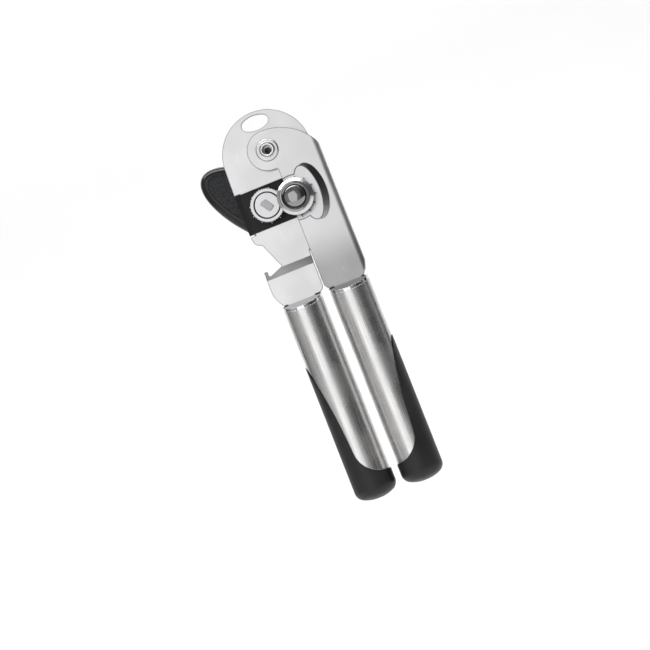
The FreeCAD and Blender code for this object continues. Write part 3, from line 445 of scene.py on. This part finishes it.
def grained_panel(finish, name, centre):
    """Soft panel with a leather-like grain, set into the knob."""
    shade = Shading(name)
    normal, edges = shade.soft_edges(finish.edge_rounding)
    warp = shade.noise(shade.shifted(centre, (700.0, 700.0, 700.0)), detail=2.0)
    drift = shade.math("MULTIPLY", warp, 0.0004)
    place = shade.tree.nodes.new("ShaderNodeVectorMath")
    place.operation = "ADD"
    shade.feed(place.inputs[0], shade.shifted(centre))
    shade.feed(place.inputs[1], shade.add("ShaderNodeCombineXYZ", X=drift, Z=drift).outputs[0])
    grain = shade.cells(place.outputs[0], 1150.0, 0.25)
    valley = shade.spread(grain, 0.25, 0.62, 0.0, 1.0)
    dark = [0.45 * value for value in finish.panel_colour]
    tone = shade.math("MULTIPLY_ADD", edges, 0.3, valley)
    shade.set(Base_Color=shade.mix(tone, dark, finish.panel_colour), Metallic=0.0,
              Specular_IOR_Level=0.30)
    shade.set(Roughness=shade.spread(valley, 0.0, 1.0, 0.62, 0.46))
    height = shade.math("MULTIPLY", grain, -1.0)
    shade.set(Normal=shade.bump(height, finish.grain_depth * 2.2, 0.8, normal))
    return shade.material


class OPENER_OT_arms(bpy.types.Operator):
    """Satin sheet steel on the two stamped arms"""
    bl_idname = "opener.arms"
    bl_label = "Finish Arms"

    def execute(self, context):
        finish = context.scene.opener_finish
        flange_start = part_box("front_arm_plate")[1].x - FLANGE_WIDTH
        # Only the front plate gets the painted shade towards its lower end.
        give(sheet_steel(finish, "rear_arm_plate", 0.0, flange_start), "rear_arm_plate")
        give(sheet_steel(finish, "front_arm_plate", 0.45, flange_start), "front_arm_plate")
        return {"FINISHED"}


class OPENER_OT_pivot(bpy.types.Operator):
    """Turned steel on the tubular rivet and natural nylon on its washer"""
    bl_idname = "opener.pivot"
    bl_label = "Finish Pivot"

    def execute(self, context):
        finish = context.scene.opener_finish
        centre = centre_of("pivot_rivet")
        # Painted shade fills the rivet's bore and a ring round it.
        give(turned_metal(finish, "rivet_metal", finish.polished_colour, centre, 0.16, 0.26,
                          painted_shade_rings=RIVET_PAINTED_SHADE), "pivot_rivet")
        give(moulded_plastic(finish, "washer_nylon", finish.nylon_colour, centre, 0.40, 0.52),
             "pivot_washer")
        return {"FINISHED"}


class OPENER_OT_handles(bpy.types.Operator):
    """Brushed sleeves, polished ferrules and soft grips of both handles"""
    bl_idname = "opener.handles"
    bl_label = "Finish Handles"

    def execute(self, context):
        finish = context.scene.opener_finish
        for side in ("rear_handle", "front_handle"):
            give(brushed_sleeve(finish, side + "_sleeve"), side + "_sleeve")
            ferrule = side + "_ferrule"
            give(polished_metal(finish, ferrule + "_polish", centre_of(ferrule)), ferrule)
            grip = side + "_grip"
            give(soft_rubber(finish, grip + "_rubber", finish.rubber_colour, centre_of(grip)), grip)
            core = side + "_core"
            give(moulded_plastic(finish, core + "_nylon", finish.core_colour, centre_of(core),
                                 0.42, 0.55), core)
            pin = side + "_pin"
            give(turned_metal(finish, pin + "_metal", finish.turned_colour, centre_of(pin),
                              0.25, 0.35), pin)
        return {"FINISHED"}


class OPENER_OT_drive(bpy.types.Operator):
    """Feed wheel, drive gear, shaft and washer on the knob's axis"""
    bl_idname = "opener.drive"
    bl_label = "Finish Drive"

    def execute(self, context):
        finish = context.scene.opener_finish
        centre = centre_of("drive_shaft")
        # Painted shade in the feed wheel's groove and a thin ring near its rim.
        give(turned_metal(finish, "feed_wheel_metal", finish.wheel_colour, centre, 0.24, 0.36, 1.2,
                          painted_shade_rings=FEED_PAINTED_SHADE), "feed_wheel")
        give(turned_metal(finish, "drive_gear_metal", finish.wheel_colour, centre, 0.28, 0.40),
             "drive_gear")
        give(turned_metal(finish, "shaft_metal", finish.gear_colour, centre, 0.22, 0.34, 1.5),
             "drive_shaft", "thrust_washer")
        return {"FINISHED"}


class OPENER_OT_cutter(bpy.types.Operator):
    """Cutting wheel, its gear and hub, and the polished cap of its stud"""
    bl_idname = "opener.cutter"
    bl_label = "Finish Cutter"

    def execute(self, context):
        finish = context.scene.opener_finish
        centre = centre_of("cutter_stud")
        give(turned_metal(finish, "cutting_wheel_metal", finish.wheel_colour, centre, 0.12, 0.20),
             "cutting_wheel")
        give(turned_metal(finish, "cutter_gear_metal", finish.dark_gear_and_painted_shade_colour, centre, 0.34, 0.46,
                          bare=0.08), "cutter_gear")
        give(turned_metal(finish, "cutter_hub_metal", finish.turned_colour, centre, 0.22, 0.32),
             "cutter_hub", "cutter_spring_washer")
        # The cap is the polished steel darkened to 0.42 as painted shade, with rings of painted
        # shade.
        give(polished_metal(finish, "cutter_cap_polish", centre, 0.42, painted_shade_rings=CAP_PAINTED_SHADE),
             "cutter_stud")
        return {"FINISHED"}


class OPENER_OT_knob(bpy.types.Operator):
    """Gloss moulding of the knob with its grained panels"""
    bl_idname = "opener.knob"
    bl_label = "Finish Knob"

    def execute(self, context):
        finish = context.scene.opener_finish
        centre = centre_of("knob_body")
        give(moulded_plastic(finish, "knob_gloss", finish.knob_colour, centre, 0.14, 0.24,
                             mirror=0.36), "knob_body")
        give(grained_panel(finish, "knob_grain", centre), "knob_front_pad", "knob_back_pad")
        return {"FINISHED"}


class OPENER_OT_bushing(bpy.types.Operator):
    """Moulded bushing that fills the bay behind the feed wheel"""
    bl_idname = "opener.bushing"
    bl_label = "Finish Bushing"

    def execute(self, context):
        finish = context.scene.opener_finish
        give(moulded_plastic(finish, "bushing_black", finish.bay_colour,
                             centre_of("drive_bushing"), 0.30, 0.42, 0.5, 0.22),
             "drive_bushing")
        return {"FINISHED"}


def swept_stage(stage, floor_level):
    """Floor and backdrop as one curved sheet."""
    back = stage.backdrop_gap
    radius = stage.sweep_radius
    profile = [(-stage.floor_front, floor_level), (back - radius, floor_level)]
    for step in range(1, SWEEP_STEPS + 1):
        turn = math.radians(90.0 * step / SWEEP_STEPS)
        profile.append((back - radius + radius * math.sin(turn),
                        floor_level + radius - radius * math.cos(turn)))
    profile.append((back, floor_level + BACKDROP_HEIGHT))
    vertices = [(side, y, z) for y, z in profile for side in (-stage.half_width, stage.half_width)]
    faces = [(2 * i, 2 * i + 1, 2 * i + 3, 2 * i + 2) for i in range(len(profile) - 1)]
    mesh = bpy.data.meshes.new("stage_sweep")
    mesh.from_pydata(vertices, [], faces)
    for face in mesh.polygons:
        face.use_smooth = True
    return bpy.data.objects.new("stage_sweep", mesh)


def area_light(name, place, aim, sides, power):
    """A rectangular softbox that points at a place."""
    light = bpy.data.lights.new(name, "AREA")
    light.shape = "RECTANGLE"
    light.size, light.size_y = sides
    light.energy = power
    lamp = bpy.data.objects.new(name, light)
    lamp.location = place
    lamp.rotation_mode = "QUATERNION"
    lamp.rotation_quaternion = (Vector(place) - Vector(aim)).to_track_quat("Z", "Y")
    bpy.context.scene.collection.objects.link(lamp)


def soft_room(level):
    """A pale room: even for the eye, banded round the sides for the metal to reflect."""
    world = bpy.data.worlds.new("soft_room")
    world.use_nodes = True
    tree = world.node_tree
    tree.nodes.clear()
    place = tree.nodes.new("ShaderNodeTexCoord")
    parts = tree.nodes.new("ShaderNodeSeparateXYZ")
    tree.links.new(place.outputs["Generated"], parts.inputs[0])
    bearing = tree.nodes.new("ShaderNodeMath")
    bearing.operation = "ARCTAN2"
    minus = tree.nodes.new("ShaderNodeMath")
    minus.operation = "MULTIPLY"
    minus.inputs[1].default_value = -1.0
    tree.links.new(parts.outputs["Y"], minus.inputs[0])
    tree.links.new(parts.outputs["X"], bearing.inputs[0])
    tree.links.new(minus.outputs[0], bearing.inputs[1])
    share = tree.nodes.new("ShaderNodeMapRange")
    share.inputs["From Min"].default_value = -math.pi
    share.inputs["From Max"].default_value = math.pi
    tree.links.new(bearing.outputs[0], share.inputs["Value"])
    bands = tree.nodes.new("ShaderNodeValToRGB")
    tree.links.new(share.outputs[0], bands.inputs[0])
    while len(bands.color_ramp.elements) < len(ROOM_BANDS):
        bands.color_ramp.elements.new(0.5)
    for element, (position, value) in zip(bands.color_ramp.elements, ROOM_BANDS):
        element.position = position
        element.color = (value, value, value, 1.0)
    sky = tree.nodes.new("ShaderNodeMapRange")
    sky.interpolation_type = "SMOOTHSTEP"
    sky.inputs["From Min"].default_value = CEILING_FROM
    sky.inputs["From Max"].default_value = CEILING_TO
    tree.links.new(parts.outputs["Z"], sky.inputs["Value"])
    blend = tree.nodes.new("ShaderNodeMix")
    blend.data_type = "RGBA"
    tree.links.new(sky.outputs[0], blend.inputs["Factor"])
    tree.links.new(bands.outputs[0], blend.inputs[6])
    blend.inputs[7].default_value = ROOM_CEILING
    room = tree.nodes.new("ShaderNodeBackground")
    tree.links.new(blend.outputs[2], room.inputs["Color"])
    room.inputs["Strength"].default_value = level
    seen = tree.nodes.new("ShaderNodeBackground")
    seen.inputs["Color"].default_value = (1.0, 1.0, 1.0, 1.0)
    path = tree.nodes.new("ShaderNodeLightPath")
    choose = tree.nodes.new("ShaderNodeMixShader")
    tree.links.new(path.outputs["Is Camera Ray"], choose.inputs[0])
    tree.links.new(room.outputs[0], choose.inputs[1])
    tree.links.new(seen.outputs[0], choose.inputs[2])
    out = tree.nodes.new("ShaderNodeOutputWorld")
    tree.links.new(choose.outputs[0], out.inputs["Surface"])
    return world


class OPENER_OT_stage(bpy.types.Operator):
    """Pale floor and backdrop, soft studio light and the camera"""
    bl_idname = "opener.stage"
    bl_label = "Set Stage"

    def execute(self, context):
        scene = context.scene
        stage = scene.opener_stage
        floor_level = CAD_BOX[0].z - stage.floor_drop
        sweep = swept_stage(stage, floor_level)
        scene.collection.objects.link(sweep)
        shade = Shading("stage_paper")
        paper = shade.noise(shade.shifted((0.0, 0.0, 0.0), (900.0, 900.0, 900.0)), detail=3.0)
        pale = tuple(stage.stage_colour)
        shade.set(Base_Color=shade.mix(shade.math("MULTIPLY", paper, 0.01), pale,
                                       [0.9 * value for value in pale]), Roughness=0.85)
        sweep.data.materials.append(shade.material)
        scene.world = soft_room(stage.room_level)
        scene.view_settings.view_transform = "Standard"
        aim = Vector(stage.target)
        area_light("key_light", KEY_PLACE, aim, KEY_SIZE, stage.key_power)
        area_light("top_light", TOP_PLACE, aim, TOP_SIZE, stage.top_power)
        area_light("backdrop_light", BACKDROP_LIGHT_PLACE, BACKDROP_AIM, BACKDROP_LIGHT_SIZE,
                   stage.backdrop_power)
        data = bpy.data.cameras.new("camera")
        data.lens = stage.lens
        distance = stage.view_across * stage.lens / data.sensor_width
        across, up = stage.view_azimuth, stage.view_elevation
        back = Vector((math.sin(across) * math.cos(up), -math.cos(across) * math.cos(up),
                       math.sin(up)))
        camera = bpy.data.objects.new("camera", data)
        camera.rotation_mode = "QUATERNION"
        level = (-back).to_track_quat("-Z", "Y")
        camera.rotation_quaternion = level @ Quaternion((0.0, 0.0, 1.0), stage.view_roll)
        camera.location = aim + back * distance
        data.clip_start, data.clip_end = 0.01, 20.0
        scene.collection.objects.link(camera)
        scene.camera = camera
        return {"FINISHED"}


STEPS = (OPENER_OT_arms, OPENER_OT_pivot, OPENER_OT_bushing, OPENER_OT_drive, OPENER_OT_cutter,
         OPENER_OT_knob, OPENER_OT_handles, OPENER_OT_stage)


class OPENER_PT_panel(bpy.types.Panel):
    """Lists the finishes and the stage"""
    bl_idname = "OPENER_PT_panel"
    bl_label = "Can Opener"
    bl_space_type = "VIEW_3D"
    bl_region_type = "UI"
    bl_category = "Can Opener"

    def draw(self, context):
        layout = self.layout
        layout.use_property_split = True
        for step in STEPS:
            layout.operator(step.bl_idname)
        for group in (context.scene.opener_finish, context.scene.opener_stage):
            box = layout.box()
            for key in group.bl_rna.properties.keys():
                if key not in ("rna_type", "name"):
                    box.prop(group, key)


CLASSES = (OpenerFinish, OpenerStage, *STEPS, OPENER_PT_panel)


def register():
    for item in CLASSES:
        bpy.utils.register_class(item)
    bpy.types.Scene.opener_finish = PointerProperty(type=OpenerFinish)
    bpy.types.Scene.opener_stage = PointerProperty(type=OpenerStage)


def unregister():
    del bpy.types.Scene.opener_stage
    del bpy.types.Scene.opener_finish
    for item in reversed(CLASSES):
        bpy.utils.unregister_class(item)


def main():
    register()
    for step in STEPS:
        section, action = step.bl_idname.split(".")
        getattr(getattr(bpy.ops, section), action)()


if __name__ == "__main__":
    main()
